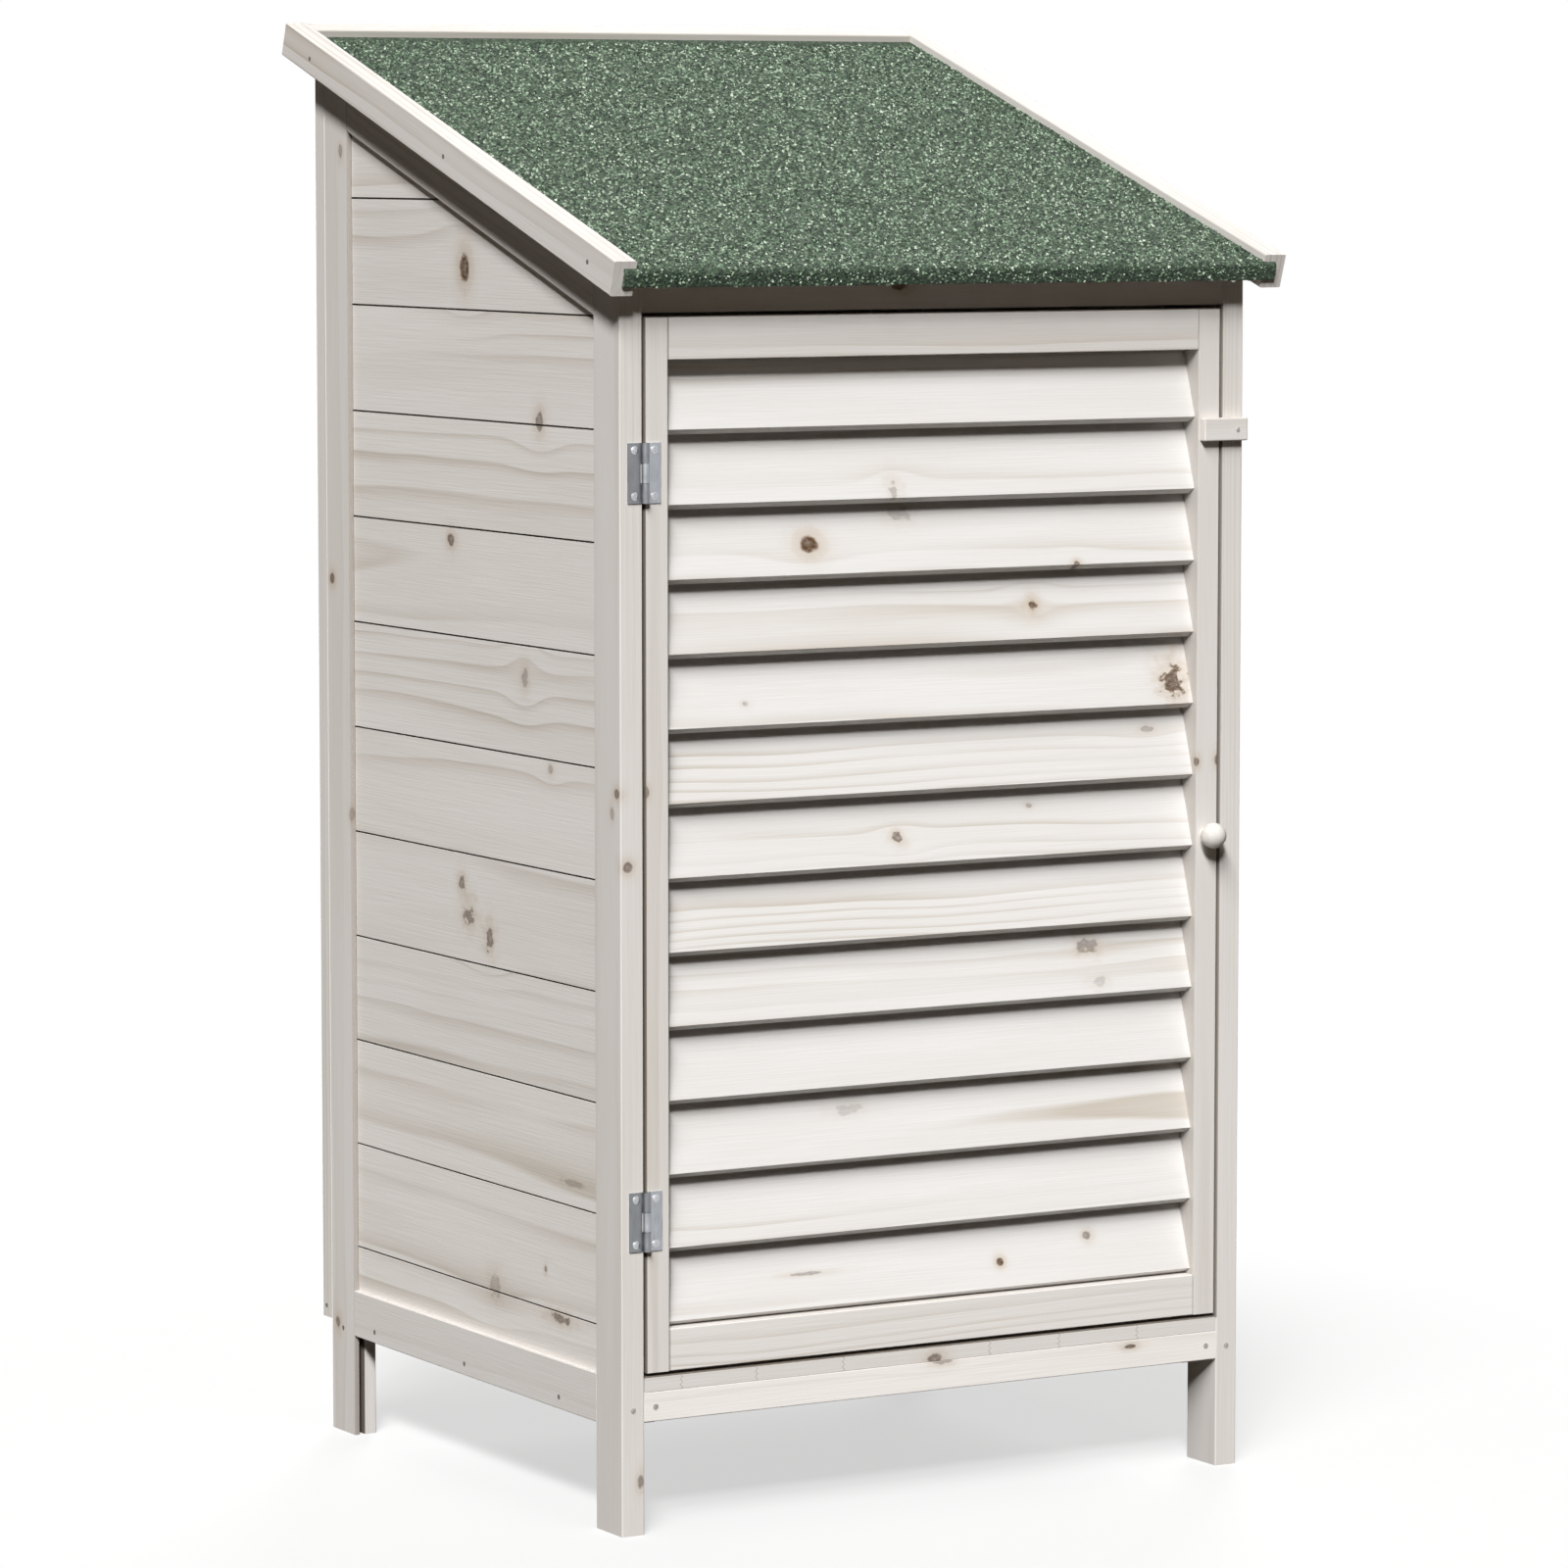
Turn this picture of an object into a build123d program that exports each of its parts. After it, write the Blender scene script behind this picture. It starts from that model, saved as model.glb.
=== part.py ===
from build123d import *

import os
from math import asin, cos, radians, sin, sqrt, tan

os.makedirs("parts", exist_ok=True)

# Driving dimensions, in millimetres and degrees
# Carcass, measured over the outer faces of the posts
body_width = 518.4
body_depth = 460.0
front_height = 883.8
roof_pitch = 18.34

# Frame stock and the groove that holds the wall boards
post_thickness = 18.0
post_width = 38.0
post_arris = 1.0
rail_arris = 0.8
leg_height = 76.0
side_rail_height = 35.0
top_rail_height = 38.0
groove_setback = 3.8
groove_width = 4.4
groove_depth = 8.0

# Tongued and grooved wall boards
board_thickness = 8.0
board_pitch = 79.0
bottom_board_show = 33.5
board_gap = 1.4
board_tongue_thickness = 2.6
board_tongue_height = 4.0

# Back panel frame
back_thickness = 15.5
back_rise = 8.0
back_stile_width = 40.0
back_rail_height = 40.0

# Floor, sill and header
floor_thickness = 11.2
floor_plank_count = 5
plank_gap = 0.4
sill_height = 21.0
sill_thickness = 18.0
cleat_thickness = 18.0
cleat_height = 25.2
header_height = 25.5
header_thickness = 18.0
header_recess = 1.0
stop_width = 21.0
stop_thickness = 15.0
threshold_arris = 0.5

# Roof
deck_thickness = 11.0
deck_plank_count = 7
felt_thickness = 2.5
felt_lip_round = 4.0
felt_edge_round = 2.0
lip_reach = 2.8
roof_overhang = 23.1
barge_thickness = 17.4
barge_above_felt = 5.4
barge_below_deck = 6.2
barge_groove_depth = 9.5
barge_side_gap = 0.9
barge_back_gap = 2.0
barge_arris = 1.0

# Door
door_side_gap = 2.0
door_bottom_gap = 2.6
door_top_gap = 2.7
stile_width = 18.5
door_rail_height = 30.0
door_rail_thickness = 18.0
tenon_thickness = 6.0
tenon_length = 10.0
tenon_shoulder = 5.0
slat_count = 13
slat_width = 60.0
slat_thickness = 8.4
slat_tilt = 17.5
slat_bevel = 9.5
slat_recess = 5.0
slat_housing = 5.0
slat_cover = 7.2
slat_arris = 0.4
top_slat_drop = 48.8

# Hinges
hinge_height = 42.0
hinge_width = 26.0
hinge_inset = 108.0
leaf_thickness = 1.0
pin_radius = 1.65
knuckle_gap = 0.2
hinge_screw_reach = 7.8
hinge_screw_inset = 5.0

# Turn button and knob
button_length = 37.8
button_height = 16.7
button_thickness = 7.0
button_arris = 1.2
button_below_door_top = 88.0
button_pivot_inset = 9.2
knob_ball = 18.6
knob_neck = 8.0
knob_reach = 12.5
knob_below_centre = 14.0
knob_off_edge = 11.2
knob_screw_recess = 2.2

# Fasteners: radius of shank and head, and how far each goes into the wood that holds it
hinge_screw_radius = 1.4
hinge_screw_head = 2.9
hinge_screw_head_height = 1.2
hinge_screw_bite = 13.0
frame_screw_radius = 1.7
frame_screw_head = 2.1
frame_screw_bite = 22.0
panel_screw_bite = 20.0
button_screw_radius = 1.1
button_screw_head = 1.6
button_screw_bite = 18.0
knob_screw_radius = 1.8
knob_screw_head = 3.2
knob_screw_bite = 12.0
screw_head_height = 0.8
cross_width = 0.7
cross_depth = 0.5
cross_margin = 1.2
nail_radius = 0.9
nail_head = 1.8
nail_head_height = 0.4
nail_bite = 14.0
front_screw_rise = 13.5
cleat_nail_rise = 8.5
post_nail_rise = 3.5
cleat_nail_front_inset = 56.0
cleat_nail_back_inset = 34.0
panel_screw_inset = 60.0
panel_nail_rise = 8.5
back_nail_inset = 130.0

# Clearances
tongue_clearance = 0.2
tongue_end_clearance = 0.5
board_tongue_clearance = 0.1
housing_clearance = 0.15
housing_end_clearance = 0.3
deck_clearance = 0.1
deck_end_clearance = 0.3
floor_clearance = 0.5
stop_clearance = 0.5
running_clearance = 0.05
fastener_clearance = 0.05
head_clearance = 0.3
leaf_clearance = 0.4
button_clearance = 0.3

# Values worked out from the driving dimensions
slope = radians(roof_pitch)
tilt = radians(slat_tilt)
bevel = radians(slat_bevel)
slat_edge = slat_thickness / cos(bevel)
half = body_width / 2
inside = half - post_thickness
felt_top = deck_thickness + felt_thickness
barge_top = felt_top + barge_above_felt
barge_inner = half + barge_side_gap
barge_outer = barge_inner + barge_thickness
back_face = body_depth + back_thickness
back_bottom = leg_height + back_rise
back_barge_front = (back_face + barge_back_gap - barge_below_deck * sin(slope)) / cos(slope)
barge_end = back_barge_front + barge_thickness
roof_front = -roof_overhang * cos(slope) - barge_top * sin(slope)
roof_back = barge_end * cos(slope) + barge_below_deck * sin(slope)
front = -(roof_front + roof_back) / 2

tongue_thickness = groove_width - 2 * tongue_clearance
tongue_length = groove_depth - tongue_end_clearance
board_face = groove_setback + tongue_clearance
side_rail_top = leg_height + side_rail_height
first_joint = side_rail_top + bottom_board_show
floor_underside = leg_height + cleat_height
floor_top = floor_underside + floor_thickness
door_bottom = floor_top + door_bottom_gap
header_bottom = front_height - header_height
door_top = header_bottom - door_top_gap
door_height = door_top - door_bottom
door_depth = slat_recess + slat_width * sin(tilt) + slat_edge * cos(tilt + bevel) + slat_cover
door_half = inside - door_side_gap
stile_inner = door_half - stile_width

knuckle_radius = pin_radius + running_clearance + leaf_thickness
hinge_axis_x = -inside + door_side_gap / 2
hinge_heights = {"upper": door_top - hinge_inset, "lower": door_bottom + hinge_inset}
post_centre = half - post_thickness / 2
button_z = door_top - button_below_door_top
knob_x = door_half - knob_off_edge
knob_z = door_bottom + door_height / 2 - knob_below_centre

# Fasteners: shank radius, shank length, head radius, head height
hinge_screw_length = leaf_thickness + hinge_screw_bite
hinge_screw = (hinge_screw_radius, hinge_screw_length, hinge_screw_head, hinge_screw_head_height)
frame_screw = (frame_screw_radius, post_width + frame_screw_bite, frame_screw_head, screw_head_height)
panel_screw = (frame_screw_radius, back_thickness + panel_screw_bite, frame_screw_head, screw_head_height)
button_seat = button_thickness + 2 * button_clearance
button_screw = (button_screw_radius, button_seat + button_screw_bite, button_screw_head, screw_head_height)
knob_screw_length = door_depth - knob_screw_recess + knob_screw_bite
knob_screw = (knob_screw_radius, knob_screw_length, knob_screw_head, screw_head_height)
cleat_nail = (nail_radius, post_thickness + nail_bite, nail_head, nail_head_height)
panel_nail = (nail_radius, back_stile_width + nail_bite, nail_head, nail_head_height)
barge_nail = (nail_radius, barge_thickness + nail_bite, nail_head, nail_head_height)

# Directions in which the heads of the fasteners face
facing_front = (90, 0, 0)
facing_back = (-90, 0, 0)
facing_left = (0, -90, 0)
facing_right = (0, 90, 0)
facing_up_slope = (roof_pitch - 90, 0, 0)


# Depths are measured from the front face of the posts, heights from the ground
def deck_height(depth):
    return front_height + depth * tan(slope)


def on_roof(along, up):
    """Depth and height of a point on the roof, along the slope and square to it."""
    return along * cos(slope) - up * sin(slope), front_height + along * sin(slope) + up * cos(slope)


def under_deck(depth, drop):
    """Depth and height of a point that lies square below the deck by drop."""
    return depth, deck_height(depth) - drop / cos(slope)


def profile(points, low, thickness, mode=Mode.ADD):
    """Side profile of depths and heights, carried along X from low."""
    with BuildSketch(Plane.YZ.offset(low)) as outline:
        with BuildLine():
            Polyline(*[(front + depth, height) for depth, height in points], close=True)
        make_face()
    extrude(outline.sketch, amount=thickness, dir=(1, 0, 0), mode=mode)


def block(x_span, depth_span, height_span, mode=Mode.ADD):
    """Square block between two widths, two depths and two heights."""
    with BuildSketch(Plane.XY.offset(height_span[0])) as plan:
        with Locations((sum(x_span) / 2, front + sum(depth_span) / 2)):
            Rectangle(x_span[1] - x_span[0], depth_span[1] - depth_span[0])
    extrude(plan.sketch, amount=height_span[1] - height_span[0], dir=(0, 0, 1), mode=mode)


def from_outside(side, near, far):
    """Span of X between two distances in from the outer face of a side."""
    return sorted((side * (half - near), side * (half - far)))


def places(points, turn):
    return [Location((x, front + depth, height), turn) for x, depth, height in points]


def drill(spots, size):
    """Hole for the shank of a fastener at each spot, going in from its head."""
    with Locations(*spots):
        Hole(size[0] + fastener_clearance, size[1] + fastener_clearance)


def save(piece, name):
    piece.part.label = name
    export_step(piece.part, f"parts/{name}.step")


def save_fasteners(name, spots, size, crossed):
    """One node that holds a fastener, with its own head and shank, at each spot."""
    shank_radius, shank_length, head_radius, head_height = size
    rim = head_height / 3
    crown = head_height - rim
    crown_radius = (head_radius**2 + crown**2) / (2 * crown)
    half_turn = asin(head_radius / crown_radius) / 2
    crown_middle = (
        crown_radius * sin(half_turn),
        head_height - crown_radius * (1 - cos(half_turn)),
    )
    cross_length = 2 * (head_radius - cross_margin)
    with BuildPart() as fastener:
        with BuildSketch(Plane.XZ):
            with BuildLine():
                Polyline(
                    (0, head_height),
                    (0, -shank_length),
                    (shank_radius, shank_radius - shank_length),
                    (shank_radius, 0),
                    (head_radius, 0),
                    (head_radius, rim),
                )
                ThreePointArc((head_radius, rim), crown_middle, (0, head_height))
            make_face()
        revolve(axis=Axis.Z)
        if crossed:
            with Locations((0, 0, head_height)):
                Box(cross_length, cross_width, 2 * cross_depth, mode=Mode.SUBTRACT)
                Box(cross_width, cross_length, 2 * cross_depth, mode=Mode.SUBTRACT)
    with BuildPart() as group:
        with Locations(*spots):
            add(fastener.part)
    save(group, name)


# Where the fasteners go
sides = {"left": -1, "right": 1}
front_screw_height = leg_height + front_screw_rise
top_screw_height = deck_height(post_width) - top_rail_height / cos(slope) / 2
hinge_screw_heights = [
    height + shift
    for height in hinge_heights.values()
    for shift in (hinge_screw_inset - hinge_height / 2, hinge_height / 2 - hinge_screw_inset)
]
post_hinge_spots = places(
    [(hinge_axis_x - hinge_screw_reach, -leaf_thickness, z) for z in hinge_screw_heights], facing_front
)
door_hinge_spots = places(
    [(hinge_axis_x + hinge_screw_reach, -leaf_thickness, z) for z in hinge_screw_heights], facing_front
)
post_screw_spots = places(
    [(side * post_centre, 0, z) for side in sides.values() for z in (front_screw_height, top_screw_height)],
    facing_front,
)
sill_screw_x = inside - cleat_thickness / 2
sill_screw_height = floor_underside - sill_height / 2
sill_screw_spots = places(
    [(side * sill_screw_x, 0, sill_screw_height) for side in sides.values()], facing_front
)
first_nail = post_width + cleat_nail_front_inset
last_nail = body_depth - post_width - cleat_nail_back_inset
cleat_nail_spots = {
    name: places(
        [
            (side * half, depth, leg_height + cleat_nail_rise)
            for depth in (first_nail, (first_nail + last_nail) / 2, last_nail)
        ]
        + [(side * half, body_depth - post_width / 2, leg_height + post_nail_rise)],
        facing_left if side < 0 else facing_right,
    )
    for name, side in sides.items()
}
panel_screw_heights = (
    back_bottom + panel_screw_inset,
    (back_bottom + deck_height(back_face)) / 2,
    deck_height(body_depth) - panel_screw_inset,
)
panel_screw_spots = places(
    [(side * post_centre, back_face, z) for side in sides.values() for z in panel_screw_heights], facing_back
)
panel_nail_depth = back_face - groove_setback - groove_width / 2
panel_nail_spots = {
    name: places(
        [(side * half, panel_nail_depth, back_bottom + panel_nail_rise)],
        facing_left if side < 0 else facing_right,
    )
    for name, side in sides.items()
}
button_spot = places([(post_centre, -button_seat, button_z)], facing_front)
knob_spot = places([(knob_x, door_depth - knob_screw_recess, knob_z)], facing_back)

deck_front = -roof_overhang - lip_reach + felt_thickness
deck_back = back_barge_front + barge_groove_depth - deck_end_clearance
deck_half = barge_inner + barge_groove_depth - deck_end_clearance
plank_pitch = (deck_back - deck_front) / deck_plank_count
nailed_planks = (0, deck_plank_count // 2, deck_plank_count - 1)
barge_nail_spots = {
    name: places(
        [
            (side * barge_outer, *on_roof(deck_front + (plank + 0.5) * plank_pitch, deck_thickness / 2))
            for plank in nailed_planks
        ],
        facing_left if side < 0 else facing_right,
    )
    for name, side in sides.items()
}
back_nail_x = half - back_nail_inset
back_barge_spots = places(
    [(x, *on_roof(barge_end, deck_thickness / 2)) for x in (-back_nail_x, 0, back_nail_x)], facing_up_slope
)

# Four posts, grooved down their whole length for the side boards
for name, side in sides.items():
    x_span = from_outside(side, 0, post_thickness)
    groove_span = from_outside(side, groove_setback, groove_setback + groove_width)
    for row, near in (("front", 0), ("back", body_depth - post_width)):
        far = near + post_width
        with BuildPart() as post:
            profile(
                [(near, 0), (far, 0), (far, deck_height(far)), (near, deck_height(near))],
                x_span[0],
                post_thickness,
            )
            fillet(post.edges().filter_by(Axis.Z), radius=post_arris)
            if row == "front":
                block(groove_span, (far - groove_depth, far), (0, deck_height(far)), mode=Mode.SUBTRACT)
                drill(post_screw_spots, frame_screw)
                drill(post_hinge_spots, hinge_screw)
                drill(button_spot, button_screw)
            else:
                block(groove_span, (near, near + groove_depth), (0, deck_height(far)), mode=Mode.SUBTRACT)
                drill(cleat_nail_spots[name], cleat_nail)
                drill(panel_screw_spots, panel_screw)
        save(post, f"{name}_{row}_post")

# Rails of the side panels, with stub tenons in the grooves of the posts
panel_front = post_width
panel_back = body_depth - post_width
roof_line = Axis((0, 0, 0), (0, cos(slope), sin(slope)))
for name, side in sides.items():
    x_span = from_outside(side, 0, post_thickness)
    groove_span = from_outside(side, groove_setback, groove_setback + groove_width)
    tenon_low = from_outside(side, board_face, board_face + tongue_thickness)[0]
    tenon_ends = (panel_front - tongue_length, panel_back + tongue_length)

    with BuildPart() as bottom_rail:
        block(x_span, (panel_front, panel_back), (leg_height, side_rail_top))
        fillet(bottom_rail.edges().filter_by(Axis.Y), radius=rail_arris)
        block(
            (tenon_low, tenon_low + tongue_thickness),
            tenon_ends,
            (leg_height + rail_arris, side_rail_top - groove_depth),
        )
        groove_heights = (side_rail_top - groove_depth, side_rail_top)
        block(groove_span, (panel_front, panel_back), groove_heights, Mode.SUBTRACT)
        drill(cleat_nail_spots[name], cleat_nail)
        drill(post_screw_spots, frame_screw)
    save(bottom_rail, f"{name}_bottom_rail")

    with BuildPart() as top_rail:
        profile(
            [
                under_deck(panel_front, top_rail_height),
                under_deck(panel_back, top_rail_height),
                under_deck(panel_back, 0),
                under_deck(panel_front, 0),
            ],
            x_span[0],
            post_thickness,
        )
        fillet(top_rail.edges().filter_by(roof_line).group_by(Axis.Z)[0], radius=rail_arris)
        profile(
            [
                under_deck(tenon_ends[0], top_rail_height - groove_depth),
                under_deck(tenon_ends[1], top_rail_height - groove_depth),
                under_deck(tenon_ends[1], 0),
                under_deck(tenon_ends[0], 0),
            ],
            tenon_low,
            tongue_thickness,
        )
        profile(
            [
                under_deck(panel_front, top_rail_height + groove_depth),
                under_deck(panel_back, top_rail_height + groove_depth),
                under_deck(panel_back, top_rail_height - groove_depth),
                under_deck(panel_front, top_rail_height - groove_depth),
            ],
            groove_span[0],
            groove_width,
            Mode.SUBTRACT,
        )
        drill(post_screw_spots, frame_screw)
    save(top_rail, f"{name}_top_rail")


def board_section(low, high, first, last):
    """Section of one wall board: thickness across, height up, tongue on top and groove below."""
    tongue_near = (board_thickness - board_tongue_thickness) / 2
    tongue_far = tongue_near + board_tongue_thickness
    groove_near = tongue_near - board_tongue_clearance
    groove_far = tongue_far + board_tongue_clearance
    bottom = low if first else low + board_gap / 2
    top = high if last else high - board_gap / 2
    tongue_top = high + board_gap / 2 + board_tongue_height - board_tongue_clearance
    groove_top = low + board_gap / 2 + board_tongue_height
    points = [(0, bottom)]
    if not first:
        points += [(groove_near, bottom), (groove_near, groove_top)]
        points += [(groove_far, groove_top), (groove_far, bottom)]
    points += [(board_thickness, bottom), (board_thickness, top)]
    if not last:
        points += [(tongue_far, top), (tongue_far, tongue_top), (tongue_near, tongue_top), (tongue_near, top)]
    return points + [(0, top)]


def board_joints(bottom, joint, top):
    """Heights where one wall board ends and the next begins, from bottom to top."""
    heights = [bottom]
    while joint < top - board_tongue_height - board_gap:
        heights.append(joint)
        joint += board_pitch
    return heights + [top]


# Side boards, laid level, held by thinned edges in the grooves all round
side_field_top = under_deck(panel_back, top_rail_height)[1] + tongue_length / cos(slope)
side_heights = board_joints(side_rail_top - tongue_length, first_joint, side_field_top)
for name, side in sides.items():
    face_span = from_outside(side, board_face, board_face + board_thickness)
    tongue_span = from_outside(side, board_face, board_face + tongue_thickness)
    with BuildPart() as field:
        profile(
            [
                (panel_front, side_rail_top),
                (panel_back, side_rail_top),
                under_deck(panel_back, top_rail_height),
                under_deck(panel_front, top_rail_height),
            ],
            face_span[0],
            board_thickness,
        )
        profile(
            [
                (panel_front - tongue_length, side_rail_top - tongue_length),
                (panel_back + tongue_length, side_rail_top - tongue_length),
                under_deck(panel_back + tongue_length, top_rail_height - tongue_length),
                under_deck(panel_front - tongue_length, top_rail_height - tongue_length),
            ],
            tongue_span[0],
            tongue_thickness,
        )
    boards = []
    for low, high in zip(side_heights, side_heights[1:]):
        section = board_section(low, high, low == side_heights[0], high == side_heights[-1])
        with BuildPart() as board:
            with BuildSketch(Plane.XZ.offset(-front - body_depth)):
                with BuildLine():
                    Polyline(*[(side * (half - board_face - x), z) for x, z in section], close=True)
                make_face()
            extrude(amount=body_depth)
            add(field.part, mode=Mode.INTERSECT)
        boards.append(board.part)
    with BuildPart() as side_boards:
        add(boards)
    save(side_boards, f"{name}_side_boards")

# Back panel: a grooved frame with level boards, screwed to the back posts
back_groove = (back_face - groove_setback - groove_width, back_face - groove_setback)
back_tongue = (back_groove[0] + tongue_clearance, back_groove[1] - tongue_clearance)
back_field = (back_face - board_face - board_thickness, back_face - board_face)
back_stile_inner = half - back_stile_width
back_rail_top = back_bottom + back_rail_height
back_top_rail_bottom = deck_height(body_depth) - back_rail_height
for name, side in sides.items():
    x_span = from_outside(side, 0, back_stile_width)
    groove_span = from_outside(side, back_stile_width - groove_depth, back_stile_width)
    with BuildPart() as back_stile:
        profile(
            [
                (body_depth, back_bottom),
                (back_face, back_bottom),
                (back_face, deck_height(back_face)),
                (body_depth, deck_height(body_depth)),
            ],
            x_span[0],
            back_stile_width,
        )
        fillet(back_stile.edges().filter_by(Axis.Z), radius=rail_arris)
        block(groove_span, back_groove, (back_bottom, deck_height(back_face)), Mode.SUBTRACT)
        drill(panel_screw_spots, panel_screw)
        drill(panel_nail_spots[name], panel_nail)
    save(back_stile, f"back_{name}_stile")

back_tenon_half = back_stile_inner + tongue_length
with BuildPart() as back_bottom_rail:
    block((-back_stile_inner, back_stile_inner), (body_depth, back_face), (back_bottom, back_rail_top))
    fillet(back_bottom_rail.edges().filter_by(Axis.X), radius=rail_arris)
    back_tenon_heights = (back_bottom + rail_arris, back_rail_top - groove_depth)
    block((-back_tenon_half, back_tenon_half), back_tongue, back_tenon_heights)
    block(
        (-back_stile_inner, back_stile_inner),
        back_groove,
        (back_rail_top - groove_depth, back_rail_top),
        Mode.SUBTRACT,
    )
    for spots in panel_nail_spots.values():
        drill(spots, panel_nail)
save(back_bottom_rail, "back_bottom_rail")

with BuildPart() as back_top_rail:
    profile(
        [
            (body_depth, back_top_rail_bottom),
            (back_face, back_top_rail_bottom),
            (back_face, deck_height(back_face)),
            (body_depth, deck_height(body_depth)),
        ],
        -back_stile_inner,
        2 * back_stile_inner,
    )
    fillet(back_top_rail.edges().filter_by(Axis.X).group_by(Axis.Z)[0], radius=rail_arris)
    block(
        (-back_tenon_half, back_tenon_half),
        back_tongue,
        (back_top_rail_bottom + groove_depth, deck_height(back_tongue[0])),
    )
    block(
        (-back_stile_inner, back_stile_inner),
        back_groove,
        (back_top_rail_bottom, back_top_rail_bottom + groove_depth),
        Mode.SUBTRACT,
    )
save(back_top_rail, "back_top_rail")

with BuildPart() as back_field_solid:
    block((-back_stile_inner, back_stile_inner), back_field, (back_rail_top, back_top_rail_bottom))
    block(
        (-back_tenon_half, back_tenon_half),
        back_tongue,
        (back_rail_top - tongue_length, back_top_rail_bottom + tongue_length),
    )
back_heights = board_joints(
    back_rail_top - tongue_length, back_rail_top + bottom_board_show, back_top_rail_bottom + tongue_length
)
back_board_solids = []
for low, high in zip(back_heights, back_heights[1:]):
    section = board_section(low, high, low == back_heights[0], high == back_heights[-1])
    with BuildPart() as board:
        with BuildSketch(Plane.YZ.offset(-half)):
            with BuildLine():
                Polyline(*[(front + back_field[1] - depth, z) for depth, z in section], close=True)
            make_face()
        extrude(amount=body_width)
        add(back_field_solid.part, mode=Mode.INTERSECT)
    back_board_solids.append(board.part)
with BuildPart() as back_boards:
    add(back_board_solids)
save(back_boards, "back_boards")

# Header above the door and sill below it, between the front posts
with BuildPart() as header:
    near = header_recess
    far = header_recess + header_thickness
    profile(
        [(near, header_bottom), (far, header_bottom), (far, deck_height(far)), (near, deck_height(near))],
        -inside,
        2 * inside,
    )
    fillet(header.edges().filter_by(Axis.X).group_by(Axis.Z)[0], radius=rail_arris)
save(header, "front_header")

with BuildPart() as sill:
    block((-inside, inside), (0, sill_thickness), (floor_underside - sill_height, floor_underside))
    fillet(sill.edges().filter_by(Axis.X).group_by(Axis.Z)[0], radius=rail_arris)
    fillet(sill.edges().filter_by(Axis.X).group_by(Axis.Z)[-1].sort_by(Axis.Y)[0], radius=threshold_arris)
    drill(sill_screw_spots, frame_screw)
save(sill, "front_sill")

# Floor planks on a cleat along each side
for name, side in sides.items():
    x_span = from_outside(side, post_thickness, post_thickness + cleat_thickness)
    with BuildPart() as cleat:
        block(x_span, (sill_thickness, body_depth), (floor_underside - cleat_height, floor_underside))
        drill(sill_screw_spots, frame_screw)
        drill(cleat_nail_spots[name], cleat_nail)
    save(cleat, f"{name}_floor_cleat")

floor_half = inside - floor_clearance
floor_pitch = body_depth / floor_plank_count
with BuildPart() as floor_boards:
    for plank in range(floor_plank_count):
        far = (plank + 1) * floor_pitch - plank_gap
        block((-floor_half, floor_half), (plank * floor_pitch, far), (floor_underside, floor_top))
    fillet(floor_boards.edges().filter_by(Axis.X).group_by(Axis.Y)[0], radius=threshold_arris)
save(floor_boards, "floor_boards")

# Upright lath that the closed door meets, against the boards behind the right front post
stop_outer = half - board_face - board_thickness
stop_front = max(door_depth + stop_clearance, post_width)
stop_back = stop_front + stop_thickness
with BuildPart() as door_stop:
    block((stop_outer - stop_width, stop_outer), (stop_front, stop_back), (floor_top, door_top))
save(door_stop, "door_stop")

# Roof deck planks, their ends housed in the grooved barge boards
with BuildPart() as roof_deck:
    for plank in range(deck_plank_count):
        near = deck_front + plank * plank_pitch
        far = near + plank_pitch - (plank_gap if plank < deck_plank_count - 1 else 0)
        profile(
            [on_roof(near, 0), on_roof(far, 0), on_roof(far, deck_thickness), on_roof(near, deck_thickness)],
            -deck_half,
            2 * deck_half,
        )
    for spots in barge_nail_spots.values():
        drill(spots, barge_nail)
    drill(back_barge_spots, barge_nail)
save(roof_deck, "roof_deck")

# Roof felt over the deck, turned down over its front edge
felt_front = deck_front - felt_thickness
with BuildPart() as roof_felt:
    profile(
        [
            on_roof(felt_front, 0),
            on_roof(deck_front, 0),
            on_roof(deck_front, deck_thickness),
            on_roof(deck_back, deck_thickness),
            on_roof(deck_back, felt_top),
            on_roof(felt_front, felt_top),
        ],
        -deck_half,
        2 * deck_half,
    )
    up_and_out = Axis((0, 0, 0), (0, -cos(slope) - sin(slope), cos(slope) - sin(slope)))
    fillet(roof_felt.edges().filter_by(Axis.X).sort_by(up_and_out)[-1], radius=felt_lip_round)
    down_and_out = Axis((0, 0, 0), (0, sin(slope) - cos(slope), -sin(slope) - cos(slope)))
    fillet(roof_felt.edges().filter_by(Axis.X).sort_by(down_and_out)[-1], radius=felt_edge_round)
save(roof_felt, "roof_felt")

# Barge boards along both sides and the back of the roof
groove_low = -deck_clearance
groove_high = felt_top + deck_clearance
for name, side in sides.items():
    outer_span = sorted((side * barge_inner, side * barge_outer))
    slot_span = sorted((side * barge_inner, side * (barge_inner + barge_groove_depth)))
    with BuildPart() as barge:
        profile(
            [
                on_roof(-roof_overhang, -barge_below_deck),
                on_roof(barge_end, -barge_below_deck),
                on_roof(barge_end, barge_top),
                on_roof(-roof_overhang, barge_top),
            ],
            outer_span[0],
            barge_thickness,
        )
        fillet(barge.edges().filter_by(roof_line), radius=barge_arris)
        profile(
            [
                on_roof(-roof_overhang, groove_low),
                on_roof(deck_back + deck_end_clearance, groove_low),
                on_roof(deck_back + deck_end_clearance, groove_high),
                on_roof(-roof_overhang, groove_high),
            ],
            slot_span[0],
            barge_groove_depth,
            Mode.SUBTRACT,
        )
        drill(barge_nail_spots[name], barge_nail)
    save(barge, f"{name}_barge_board")

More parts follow.
